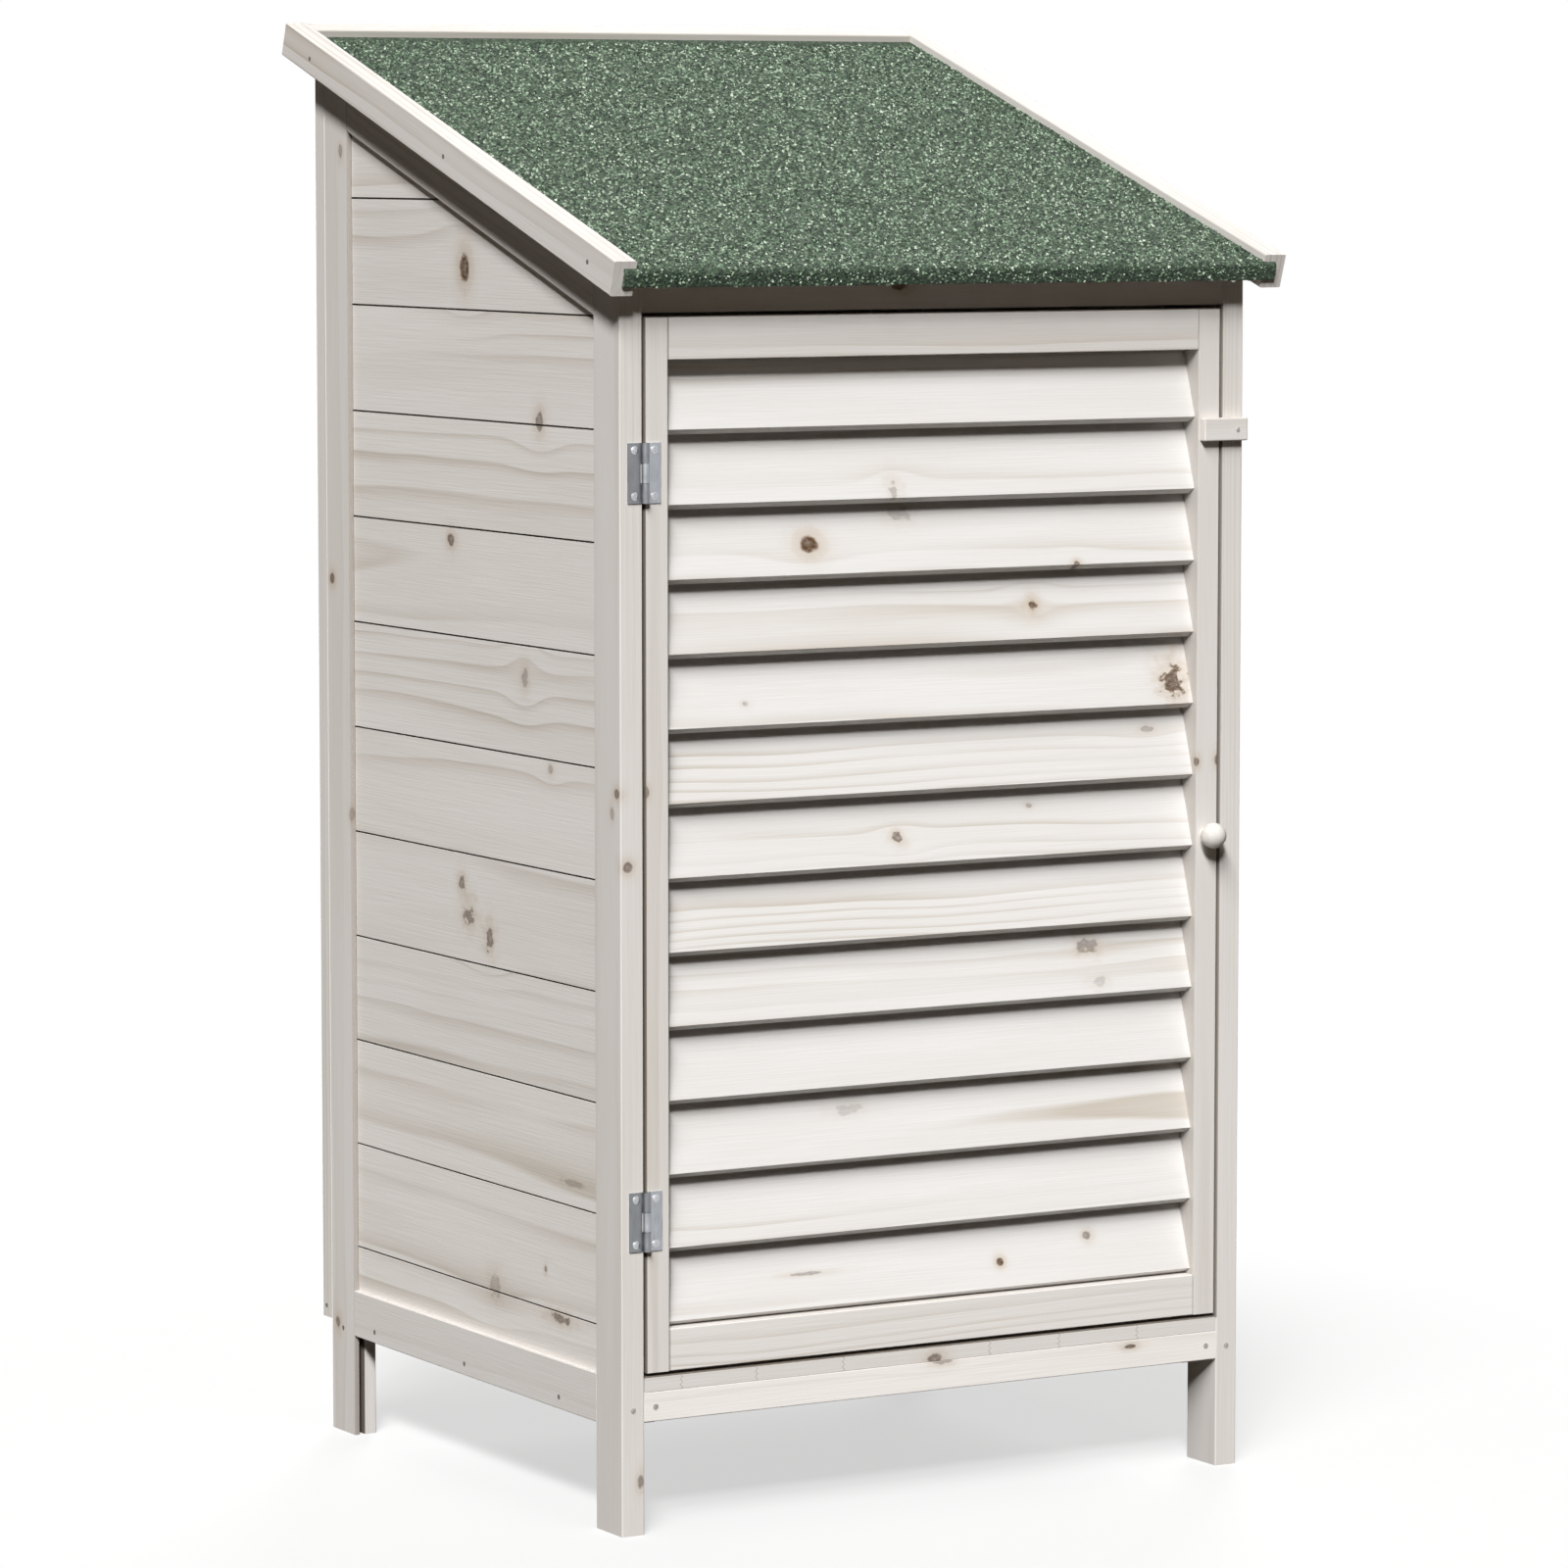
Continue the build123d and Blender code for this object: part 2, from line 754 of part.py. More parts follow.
with BuildPart() as back_barge:
    profile(
        [
            on_roof(back_barge_front, -barge_below_deck),
            on_roof(barge_end, -barge_below_deck),
            on_roof(barge_end, barge_top),
            on_roof(back_barge_front, barge_top),
        ],
        -barge_inner,
        2 * barge_inner,
    )
    fillet(back_barge.edges().filter_by(Axis.X), radius=barge_arris)
    profile(
        [
            on_roof(back_barge_front, groove_low),
            on_roof(back_barge_front + barge_groove_depth, groove_low),
            on_roof(back_barge_front + barge_groove_depth, groove_high),
            on_roof(back_barge_front, groove_high),
        ],
        -barge_inner,
        2 * barge_inner,
        Mode.SUBTRACT,
    )
    drill(back_barge_spots, barge_nail)
save(back_barge, "back_barge_board")

# Louvred door: the slats are let into slanting housings in the two stiles
lowest_slat = door_bottom + door_rail_height + slat_edge * sin(tilt + bevel) + 2 * housing_clearance
highest_slat = door_top - door_rail_height - top_slat_drop
slat_pitch = (highest_slat - lowest_slat) / (slat_count - 1)
slat_corners = [(front + slat_recess, lowest_slat + row * slat_pitch) for row in range(slat_count)]
rail_spans = {
    "top": (door_top - door_rail_height, door_top),
    "bottom": (door_bottom, door_bottom + door_rail_height),
}
tenon_depths = ((door_rail_thickness - tenon_thickness) / 2, (door_rail_thickness + tenon_thickness) / 2)


def slat_section(corner, room):
    """Section of one slat from its lower front corner, its two edges bevelled, with room left all round."""
    spare = room / cos(bevel)
    return [
        (
            corner[0] + up * sin(tilt) + back * cos(tilt + bevel),
            corner[1] + up * cos(tilt) - back * sin(tilt + bevel),
        )
        for up, back in (
            (-spare, -spare),
            (slat_width + spare, -spare),
            (slat_width + spare, slat_edge + spare),
            (-spare, slat_edge + spare),
        )
    ]


for name, side in (("hinge", -1), ("latch", 1)):
    x_span = sorted((side * stile_inner, side * door_half))
    mortise_span = sorted((side * stile_inner, side * (stile_inner + tenon_length + housing_end_clearance)))
    with BuildPart() as stile:
        block(x_span, (0, door_depth), (door_bottom, door_top))
        fillet(stile.edges().filter_by(Axis.Z), radius=post_arris)
        with BuildSketch(Plane.YZ.offset(side * stile_inner)):
            for corner in slat_corners:
                with BuildLine():
                    Polyline(*slat_section(corner, housing_clearance), close=True)
                make_face()
        extrude(amount=side * slat_housing, mode=Mode.SUBTRACT)
        for low, high in rail_spans.values():
            block(
                mortise_span,
                (tenon_depths[0] - housing_clearance, tenon_depths[1] + housing_clearance),
                (low + tenon_shoulder - housing_clearance, high - tenon_shoulder + housing_clearance),
                Mode.SUBTRACT,
            )
        drill(door_hinge_spots, hinge_screw)
        if name == "latch":
            drill(knob_spot, knob_screw)
            with Locations(*places([(knob_x, door_depth, knob_z)], facing_back)):
                Hole(knob_screw_head + head_clearance, knob_screw_recess)
    save(stile, f"door_{name}_stile")

for name, (low, high) in rail_spans.items():
    tenon_half = stile_inner + tenon_length
    with BuildPart() as rail:
        block((-stile_inner, stile_inner), (0, door_rail_thickness), (low, high))
        fillet(rail.edges().filter_by(Axis.X), radius=rail_arris)
        block((-tenon_half, tenon_half), tenon_depths, (low + tenon_shoulder, high - tenon_shoulder))
    save(rail, f"door_{name}_rail")

slat_half = stile_inner + slat_housing - housing_end_clearance
for row, corner in enumerate(reversed(slat_corners), start=1):
    with BuildPart() as slat:
        with BuildSketch(Plane.YZ.offset(-slat_half)) as section:
            with BuildLine():
                Polyline(*slat_section(corner, 0), close=True)
            make_face()
            fillet(section.vertices(), radius=slat_arris)
        extrude(amount=2 * slat_half)
    save(slat, f"door_slat_{row:02d}")

# Turned knob, held by a screw from behind the stile
knob_plane = Plane(origin=(knob_x, front, knob_z), x_dir=(1, 0, 0), z_dir=(0, 0, -1))
ball_radius = knob_ball / 2
neck_radius = knob_neck / 2
neck_end = knob_reach - sqrt(ball_radius**2 - neck_radius**2)
with BuildPart() as knob:
    with BuildSketch(knob_plane):
        with BuildLine():
            Polyline((0, knob_reach + ball_radius), (0, 0), (neck_radius, 0), (neck_radius, neck_end))
            ThreePointArc(
                (neck_radius, neck_end), (ball_radius, knob_reach), (0, knob_reach + ball_radius)
            )
        make_face()
    revolve(axis=Axis((knob_x, front, knob_z), (0, -1, 0)))
    drill(knob_spot, knob_screw)
save(knob, "door_knob")

# Two butt hinges: the outer knuckles are on the post leaf, the middle one on the door leaf
hinge_axis_depth = -knuckle_radius
knuckle_pitch = hinge_height / 3
leaf_reach = hinge_width / 2
bore_radius = pin_radius + running_clearance


def make_leaf(name, side, centre, knuckles, spots):
    """Flat leaf with rolled knuckles at the given thirds of its height."""
    bottom = centre - hinge_height / 2
    plate = sorted((hinge_axis_x, hinge_axis_x + side * leaf_reach))
    cut_back = sorted((hinge_axis_x, hinge_axis_x + side * (knuckle_radius + leaf_clearance)))
    with BuildPart() as leaf:
        block(plate, (-leaf_thickness, 0), (bottom, bottom + hinge_height))
        for third in range(3):
            low = bottom + third * knuckle_pitch
            if third not in knuckles:
                block(cut_back, (-leaf_thickness, 0), (low, low + knuckle_pitch), Mode.SUBTRACT)
        for third in knuckles:
            low = bottom + third * knuckle_pitch + (knuckle_gap if third > 0 else 0)
            high = bottom + (third + 1) * knuckle_pitch - (knuckle_gap if third < 2 else 0)
            if third == 1:
                for end in (low - knuckle_gap, high):
                    block(cut_back, (-leaf_thickness, 0), (end, end + knuckle_gap), Mode.SUBTRACT)
            with BuildSketch(Plane.XY.offset(low)):
                with Locations((hinge_axis_x, front + hinge_axis_depth)):
                    Circle(knuckle_radius)
            extrude(amount=high - low)
        with BuildSketch(Plane.XY.offset(bottom)):
            with Locations((hinge_axis_x, front + hinge_axis_depth)):
                Circle(bore_radius)
        extrude(amount=hinge_height, mode=Mode.SUBTRACT)
        drill(spots, hinge_screw)
    save(leaf, name)


for name, centre in hinge_heights.items():
    make_leaf(f"{name}_hinge_post_leaf", -1, centre, (0, 2), post_hinge_spots)
    make_leaf(f"{name}_hinge_door_leaf", 1, centre, (1,), door_hinge_spots)
    with BuildPart() as pin:
        with BuildSketch(Plane.XY.offset(centre - hinge_height / 2)):
            with Locations((hinge_axis_x, front + hinge_axis_depth)):
                Circle(pin_radius)
        extrude(amount=hinge_height)
    save(pin, f"{name}_hinge_pin")

# Turn button that holds the door shut, loose on its screw
button_back = -button_clearance
button_right = post_centre + button_pivot_inset
with BuildPart() as button:
    block(
        (button_right - button_length, button_right),
        (button_back - button_thickness, button_back),
        (button_z - button_height / 2, button_z + button_height / 2),
    )
    fillet(button.edges(), radius=button_arris)
    with Locations(*button_spot):
        Hole(button_screw[0] + running_clearance, button_screw[1])
save(button, "turn_button")

# Screws and nails
save_fasteners("hinge_post_screws", post_hinge_spots, hinge_screw, True)
save_fasteners("hinge_door_screws", door_hinge_spots, hinge_screw, True)
save_fasteners("frame_screws", post_screw_spots + sill_screw_spots, frame_screw, True)
save_fasteners("back_panel_screws", panel_screw_spots, panel_screw, True)
save_fasteners("turn_button_screw", button_spot, button_screw, True)
save_fasteners("door_knob_screw", knob_spot, knob_screw, True)
save_fasteners("cleat_nails", cleat_nail_spots["left"] + cleat_nail_spots["right"], cleat_nail, False)
save_fasteners("back_frame_nails", panel_nail_spots["left"] + panel_nail_spots["right"], panel_nail, False)
save_fasteners(
    "barge_nails", barge_nail_spots["left"] + barge_nail_spots["right"] + back_barge_spots, barge_nail, False
)
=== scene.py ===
import math
import random

import bpy
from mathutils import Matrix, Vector


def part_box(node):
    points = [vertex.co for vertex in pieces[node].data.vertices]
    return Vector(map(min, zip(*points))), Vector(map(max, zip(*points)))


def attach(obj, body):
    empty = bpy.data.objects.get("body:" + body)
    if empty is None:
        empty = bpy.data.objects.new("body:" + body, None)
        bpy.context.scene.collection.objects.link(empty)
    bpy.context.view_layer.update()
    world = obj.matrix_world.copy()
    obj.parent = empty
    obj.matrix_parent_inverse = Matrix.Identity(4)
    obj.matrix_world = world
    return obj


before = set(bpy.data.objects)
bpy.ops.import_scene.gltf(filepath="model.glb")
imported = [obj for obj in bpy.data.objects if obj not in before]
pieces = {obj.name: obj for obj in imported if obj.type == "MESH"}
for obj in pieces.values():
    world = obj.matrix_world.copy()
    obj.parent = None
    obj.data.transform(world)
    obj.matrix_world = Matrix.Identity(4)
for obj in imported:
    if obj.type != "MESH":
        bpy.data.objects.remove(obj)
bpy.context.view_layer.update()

# Corner posts
# Four posts of planed pine, grooved for the wall boards. They are brushed with a thin white
# wash, so the growth rings show as faint beige lines and the knots as brown spots.
WASH = (0.75, 0.722, 0.690, 1)
LATEWOOD = (0.51, 0.452, 0.378, 1)
# This dark brown is unwashed wood in the joints, and also painted shade in the gaps round the door and on
# faces the light misses.
BARE_AND_SHADE = (0.15, 0.120, 0.092, 1)


def put(tree, kind, inputs=None, **options):
    """Add a node, set its options, and link or set its inputs."""
    node = tree.nodes.new(kind)
    for option, value in options.items():
        setattr(node, option, value)
    for socket, value in (inputs or {}).items():
        if isinstance(value, bpy.types.NodeSocket):
            tree.links.new(value, node.inputs[socket])
        else:
            node.inputs[socket].default_value = value
    return node


def reckon(tree, operation, *terms):
    """One sum on numbers."""
    return put(tree, "ShaderNodeMath", dict(enumerate(terms)), operation=operation).outputs[0]


def shift(tree, operation, *terms):
    """One sum on vectors, which gives its vector."""
    return put(tree, "ShaderNodeVectorMath", dict(enumerate(terms)), operation=operation).outputs["Vector"]


def measure(tree, operation, *terms):
    """One sum on vectors, which gives a number."""
    return put(tree, "ShaderNodeVectorMath", dict(enumerate(terms)), operation=operation).outputs["Value"]


def cloud(tree, place, stretch, detail=2.0):
    """Soft noise, stretched along the board."""
    spread = shift(tree, "MULTIPLY", place, stretch)
    return put(tree, "ShaderNodeTexNoise", {"Vector": spread, "Scale": 1.0, "Detail": detail}).outputs[0]


def ramp(tree, value, stops, interpolation="LINEAR"):
    """Colours or greys at places from 0 to 1."""
    node = put(tree, "ShaderNodeValToRGB", {0: value})
    node.color_ramp.interpolation = interpolation
    while len(node.color_ramp.elements) < len(stops):
        node.color_ramp.elements.new(1.0)
    for element, (position, colour) in zip(node.color_ramp.elements, stops):
        element.position = position
        element.color = colour if isinstance(colour, tuple) else (colour, colour, colour, 1)
    return node.outputs[0]


def blend(tree, amount, under, over):
    """Lay one colour over another."""
    node = put(tree, "ShaderNodeMix", {0: amount, 6: under, 7: over}, data_type="RGBA")
    return node.outputs[2]


def start_group(name, takes, gives):
    group = bpy.data.node_groups.new(name, "ShaderNodeTree")
    for direction, sockets in (("INPUT", takes), ("OUTPUT", gives)):
        for label, kind in sockets.items():
            group.interface.new_socket(label, in_out=direction, socket_type=f"NodeSocket{kind}")
    return group, group.nodes.new("NodeGroupInput").outputs, group.nodes.new("NodeGroupOutput").inputs


def make_knot():
    """A knot: brown heart, darker ring, tan halo, and how far it pushes the grain aside."""
    tree, taken, given = start_group(
        "knot",
        {"Place": "Vector", "Middle": "Vector", "Reach": "Vector", "Ragged": "Float", "Depth": "Float"},
        {"Push": "Float", "Cover": "Float", "Stain": "Color"},
    )
    away = shift(tree, "SUBTRACT", taken["Place"], taken["Middle"])
    scaled = shift(tree, "DIVIDE", away, taken["Reach"])
    rough = reckon(tree, "SUBTRACT", cloud(tree, taken["Place"], (120, 150, 150), 3.0), 0.5)
    distance = measure(tree, "LENGTH", scaled)
    distance = reckon(tree, "ADD", distance, reckon(tree, "MULTIPLY", rough, taken["Ragged"]))
    spread = measure(tree, "LENGTH", shift(tree, "DIVIDE", scaled, (2.4, 1.2, 1.2)))
    squared = reckon(tree, "MULTIPLY", spread, spread)
    fade = reckon(tree, "POWER", 2.718, reckon(tree, "MULTIPLY", squared, -0.5))
    across = put(tree, "ShaderNodeSeparateXYZ", {0: away}).outputs[1]
    tree.links.new(reckon(tree, "MULTIPLY", across, fade), given["Push"])
    half = reckon(tree, "DIVIDE", distance, 2.0)
    heart = [
        (0.0, (0.15, 0.085, 0.040, 1)),
        (0.17, (0.085, 0.045, 0.020, 1)),
        (0.23, (0.19, 0.115, 0.058, 1)),
        (0.29, (0.46, 0.34, 0.21, 1)),
        (0.45, (0.53, 0.41, 0.28, 1)),
        (0.7, (0.60, 0.51, 0.40, 1)),
    ]
    tree.links.new(ramp(tree, half, heart), given["Stain"])
    depths = [(0.0, 0.9), (0.17, 1.0), (0.23, 0.92), (0.29, 0.42), (0.47, 0.32), (0.56, 0.17), (0.95, 0.0)]
    cover = ramp(tree, half, depths)
    flecks = ramp(tree, cloud(tree, taken["Place"], (260, 420, 420)), [(0.32, 0.82), (0.56, 1.0)])
    cover = reckon(tree, "MULTIPLY", reckon(tree, "MULTIPLY", cover, flecks), taken["Depth"])
    tree.links.new(cover, given["Cover"])
    return tree


def make_grain():
    """Growth rings round a pith line beside the board, fine fibres and the wash over them."""
    tree, taken, given = start_group(
        "pine_grain",
        {
            "Place": "Vector", "Push": "Float", "Pith": "Vector",
            "Ring": "Float", "Lines": "Float", "Wash": "Color",
        },
        {"Colour": "Color", "Height": "Float", "Dullness": "Float"},
    )
    place = taken["Place"]
    along, across, depth = put(tree, "ShaderNodeSeparateXYZ", {0: place}).outputs
    bend = reckon(tree, "MULTIPLY", reckon(tree, "SUBTRACT", cloud(tree, place, (2.6, 9, 9)), 0.5), 0.024)
    bent = reckon(tree, "ADD", reckon(tree, "SUBTRACT", across, taken["Push"]), bend)
    section = put(tree, "ShaderNodeCombineXYZ", {1: bent, 2: depth}).outputs[0]
    radius = measure(tree, "LENGTH", shift(tree, "SUBTRACT", section, taken["Pith"]))
    uneven = put(tree, "ShaderNodeCombineXYZ", {0: along, 1: radius}).outputs[0]
    years = reckon(tree, "MULTIPLY", cloud(tree, uneven, (0.6, 85, 1)), 2.4)
    phase = reckon(tree, "FRACT", reckon(tree, "ADD", reckon(tree, "DIVIDE", radius, taken["Ring"]), years))
    late = ramp(tree, phase, [(0.0, 0.0), (0.55, 0.06), (0.84, 0.75), (0.92, 1.0), (0.98, 0.1), (1.0, 0.0)])
    shown = ramp(tree, cloud(tree, place, (1.6, 17, 17)), [(0.34, 0.05), (0.68, 1.0)])
    line = reckon(tree, "MULTIPLY", reckon(tree, "MULTIPLY", late, shown), taken["Lines"])
    fibre = reckon(tree, "SUBTRACT", cloud(tree, place, (16, 900, 900), 3.0), 0.5)
    broad = reckon(tree, "SUBTRACT", cloud(tree, place, (3.0, 34, 34)), 0.5)
    amount = reckon(tree, "MULTIPLY", line, 0.62)
    amount = reckon(tree, "ADD", amount, reckon(tree, "MULTIPLY", fibre, 0.30))
    amount = reckon(tree, "ADD", amount, reckon(tree, "MULTIPLY", broad, 0.36))
    amount = put(tree, "ShaderNodeClamp", {0: reckon(tree, "ADD", amount, 0.06)}).outputs[0]
    tree.links.new(blend(tree, amount, taken["Wash"], LATEWOOD), given["Colour"])
    height = reckon(tree, "SUBTRACT", fibre, reckon(tree, "MULTIPLY", line, 0.35))
    tree.links.new(height, given["Height"])
    tree.links.new(reckon(tree, "ADD", reckon(tree, "MULTIPLY", fibre, 0.25), 0.62), given["Dullness"])
    return tree


knot_group = make_knot()
grain_group = make_grain()


def whitewashed_pine(
    piece, along, across, seed, knots=(), courses=None, lines=1.0, wash=(1, 1, 1), marks=None
):
    """Whitewashed pine on one piece, with its own rings and knots. Courses are first joint and pitch.

    Lines is how strongly the rings show, and wash how light the wash is. Marks is a function that draws
    further dark places: joints without wash, glue lines, and painted shade in gaps and on faces the
    light misses.
    """
    finish = bpy.data.materials.new(f"whitewashed_pine_{piece}")
    finish.use_nodes = True
    tree = finish.node_tree
    shader = tree.nodes["Principled BSDF"]
    draw = random.Random(seed)
    along = Vector(along).normalized()
    across = Vector(across).normalized()
    axes = (along, across, along.cross(across))
    low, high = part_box(piece)
    middle = (low + high) / 2

    spot = put(tree, "ShaderNodeTexCoord").outputs["Object"]
    parts = [measure(tree, "DOT_PRODUCT", spot, tuple(axis)) for axis in axes]
    place = put(tree, "ShaderNodeCombineXYZ", dict(enumerate(parts))).outputs[0]
    push = 0.0
    stains = []
    for where, reach, ragged, strength in knots:
        centre = tuple(Vector(where).dot(axis) for axis in axes)
        knot = put(tree, "ShaderNodeGroup", node_tree=knot_group)
        tree.links.new(place, knot.inputs["Place"])
        knot.inputs["Middle"].default_value = centre
        knot.inputs["Reach"].default_value = [1.7 * part for part in reach]
        knot.inputs["Ragged"].default_value = ragged
        knot.inputs["Depth"].default_value = strength
        push = reckon(tree, "ADD", push, knot.outputs["Push"])
        stains.append((knot.outputs["Cover"], knot.outputs["Stain"]))

    tone = 1.0
    if courses:
        first, pitch = courses
        risen = reckon(tree, "SUBTRACT", parts[1], first)
        course = reckon(tree, "FLOOR", reckon(tree, "DIVIDE", risen, pitch))
        luck = put(
            tree,
            "ShaderNodeTexWhiteNoise",
            {"W": reckon(tree, "ADD", course, seed * 0.37)},
            noise_dimensions="1D",
        )
        start = reckon(tree, "ADD", reckon(tree, "MULTIPLY", course, pitch), first + pitch / 2)
        board = put(tree, "ShaderNodeCombineXYZ", {1: start}).outputs[0]
        jitter = shift(tree, "SUBTRACT", luck.outputs["Color"], (0.5, 0.5, 0.5))
        jitter = shift(tree, "MULTIPLY", jitter, (9.0, 0.07, 0.06))
        grain_place = shift(tree, "ADD", shift(tree, "SUBTRACT", place, board), jitter)
        tone = reckon(tree, "ADD", reckon(tree, "MULTIPLY", luck.outputs["Value"], 0.05), 0.97)
    else:
        own = Vector((draw.uniform(-5, 5), 0, 0)) - Vector([middle.dot(axis) for axis in axes])
        grain_place = shift(tree, "ADD", place, tuple(own))

    grain = put(tree, "ShaderNodeGroup", node_tree=grain_group)
    tree.links.new(grain_place, grain.inputs["Place"])
    if knots:
        tree.links.new(push, grain.inputs["Push"])
    grain.inputs["Pith"].default_value = (0, draw.uniform(-0.02, 0.02), -draw.uniform(0.03, 0.08))
    grain.inputs["Ring"].default_value = draw.uniform(0.0034, 0.0062)
    grain.inputs["Lines"].default_value = lines
    grain.inputs["Wash"].default_value = [amount * part for amount, part in zip(wash, WASH)] + [1]
    shader.inputs["Specular IOR Level"].default_value = 0.06
    colour = grain.outputs["Colour"]
    for cover, stain in stains:
        colour = blend(tree, cover, colour, stain)
    if courses:
        colour = shift(tree, "SCALE", colour)
        tree.links.new(tone, colour.node.inputs["Scale"])
    if marks:
        # The marks lay unwashed wood and painted shade over the colour.
        colour = blend(tree, marks(tree, spot), colour, BARE_AND_SHADE)
    tree.links.new(colour, shader.inputs["Base Color"])
    tree.links.new(grain.outputs["Dullness"], shader.inputs["Roughness"])
    relief = {"Height": grain.outputs["Height"], "Strength": 0.35, "Distance": 0.0004}
    bump = put(tree, "ShaderNodeBump", relief)
    tree.links.new(bump.outputs[0], shader.inputs["Normal"])
    slots = pieces[piece].data.materials
    slots.clear()
    slots.append(finish)


def unwashed_and_shaded_places(*places):
    """Marks for places that the brush does not reach, and for painted shade: middle and half width by axis,
    and how dark.
    """
    def marks(tree, spot):
        axes = put(tree, "ShaderNodeSeparateXYZ", {0: spot}).outputs
        unwashed_and_shade = 0.0
        for limits, amount in places:
            inside = amount
            for axis, (middle, half) in limits.items():
                inside = reckon(tree, "MULTIPLY", inside, reckon(tree, "COMPARE", axes[axis], middle, half))
            unwashed_and_shade = reckon(tree, "MAXIMUM", unwashed_and_shade, inside)
        return unwashed_and_shade
    return marks


UP, RIGHT, BACK = (0, 0, 1), (1, 0, 0), (0, 1, 0)
SKIN = 0.004
FACE = 0.0007
front_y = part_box("left_front_post")[0].y
left_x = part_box("left_front_post")[0].x
jamb_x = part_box("right_front_post")[0].x
front_edge = (front_y + 0.003, 0.005)
door_height = (0.485, 0.374)
grooves_x = {"left": (-0.2532, 0.0024), "right": (0.2532, 0.0024)}
lips_x = {"left": (-0.2575, 0.0025), "right": (0.2575, 0.0025)}


def post_marks(side, grooved_face, groove_middle):
    """The groove is left nearly bare, with painted shade on the lip's front and in the door gap."""
    jamb, lip_shade = (jamb_x, 0.2) if side == "right" else (-jamb_x, 0.6)
    return unwashed_and_shaded_places(
        # Painted shade on the lip's front face: 0.6 on the left, 0.2 on the right, which lies in real
        # shade.
        ({0: lips_x[side], 1: (grooved_face, FACE)}, lip_shade),
        ({0: grooves_x[side], 1: (groove_middle, 0.0046)}, 0.95),
        # Painted shade on the post's inner face at the front of the door gap.
        ({0: (jamb, FACE), 1: front_edge, 2: door_height}, 0.75),
    )


whitewashed_pine("left_front_post", UP, BACK, 11, [
    ((left_x, -0.2279, 0.5247), (0.004, 0.004, SKIN), 0.5, 0.8),
    ((left_x, -0.2207, 0.5104), (0.005, 0.003, SKIN), 0.7, 0.5),
    ((-0.2535, front_y, 0.4736), (0.0045, SKIN, 0.004), 0.4, 0.8),
    ((-0.2441, front_y, 0.0384), (0.006, SKIN, 0.003), 0.8, 0.7),
], lines=0.5, marks=post_marks("left", front_y + 0.038, front_y + 0.034))
whitewashed_pine("right_front_post", UP, BACK, 12, [
    ((0.2592, -0.2150, 0.3120), (0.005, 0.004, SKIN), 0.4, 0.8),
], lines=0.5, marks=post_marks("right", front_y + 0.038, front_y + 0.034))
whitewashed_pine("left_back_post", UP, BACK, 13, [
    ((left_x, 0.2000, 0.9691), (0.006, 0.0035, SKIN), 0.4, 0.6),
    ((left_x, 0.2184, 0.6492), (0.005, 0.0045, SKIN), 0.3, 0.9),
    ((left_x, 0.1890, 0.4731), (0.006, 0.003, SKIN), 0.6, 0.5),
    ((left_x, 0.2167, 0.0828), (0.006, 0.004, SKIN), 0.9, 0.8),
], lines=0.5, marks=post_marks("left", front_y + 0.422, front_y + 0.426))
whitewashed_pine("right_back_post", UP, BACK, 14, [
    ((0.2592, 0.2050, 0.7510), (0.006, 0.005, SKIN), 0.3, 0.8),
], lines=0.5, marks=post_marks("right", front_y + 0.422, front_y + 0.426))

# Side rails
# A level bottom rail and a sloping top rail join the posts on each side, tenoned into the
# same grooves. The top rails lie under the roof boards and follow their pitch.
pitch = math.radians(18.34)
UP_ROOF = (0, math.cos(pitch), math.sin(pitch))
OFF_ROOF = (0, -math.sin(pitch), math.cos(pitch))
for number, side in enumerate(("left", "right")):
    whitewashed_pine(f"{side}_bottom_rail", BACK, UP, 21 + number)
    whitewashed_pine(f"{side}_top_rail", UP_ROOF, OFF_ROOF, 23 + number)

# Side boards
# Level tongued and grooved boards, a narrow one at the foot and the upper ones cut to the
# roof slope. Each board has its own grain, and the joints stay open by about a millimetre.
BOARD_PITCH = 0.079
SIDE_JOINT = 0.1445
board_x = -0.2552
DEEP = 0.02


def side_joints(tree, spot):
    """Inside the joints, below the face and above the back of the boards, no wash gets in."""
    across = reckon(tree, "ABSOLUTE", put(tree, "ShaderNodeSeparateXYZ", {0: spot}).outputs[0])
    return reckon(tree, "COMPARE", across, 0.2512, 0.0030)


whitewashed_pine("left_side_boards", BACK, UP, 31, [
    ((board_x, 0.0066, 0.8853), (0.0085, 0.0115, DEEP), 0.35, 1.0),
    ((board_x, -0.1078, 0.7790), (0.006, 0.008, DEEP), 0.6, 0.75),
    ((board_x, 0.0300, 0.6880), (0.006, 0.0055, DEEP), 0.7, 0.85),
    ((board_x, -0.0838, 0.5946), (0.005, 0.008, DEEP), 0.9, 0.5),
    ((board_x, -0.1227, 0.5325), (0.004, 0.004, DEEP), 0.8, 0.5),
    ((board_x, 0.0159, 0.4388), (0.005, 0.006, DEEP), 1.2, 0.8),
    ((board_x, 0.0034, 0.4165), (0.008, 0.008, DEEP), 1.8, 0.75),
    ((board_x, -0.0275, 0.4020), (0.006, 0.009, DEEP), 1.8, 0.8),
    ((board_x, -0.0352, 0.1494), (0.009, 0.009, DEEP), 1.4, 0.4),
    ((board_x, -0.1331, 0.1401), (0.015, 0.004, DEEP), 1.5, 0.8),
    ((board_x, -0.1552, 0.2402), (0.018, 0.003, DEEP), 0.8, 0.45),
    ((board_x, -0.1123, 0.1725), (0.002, 0.003, DEEP), 0.3, 0.7),
], courses=(SIDE_JOINT, BOARD_PITCH), lines=1.2, wash=(1.08, 1.08, 1.08), marks=side_joints)
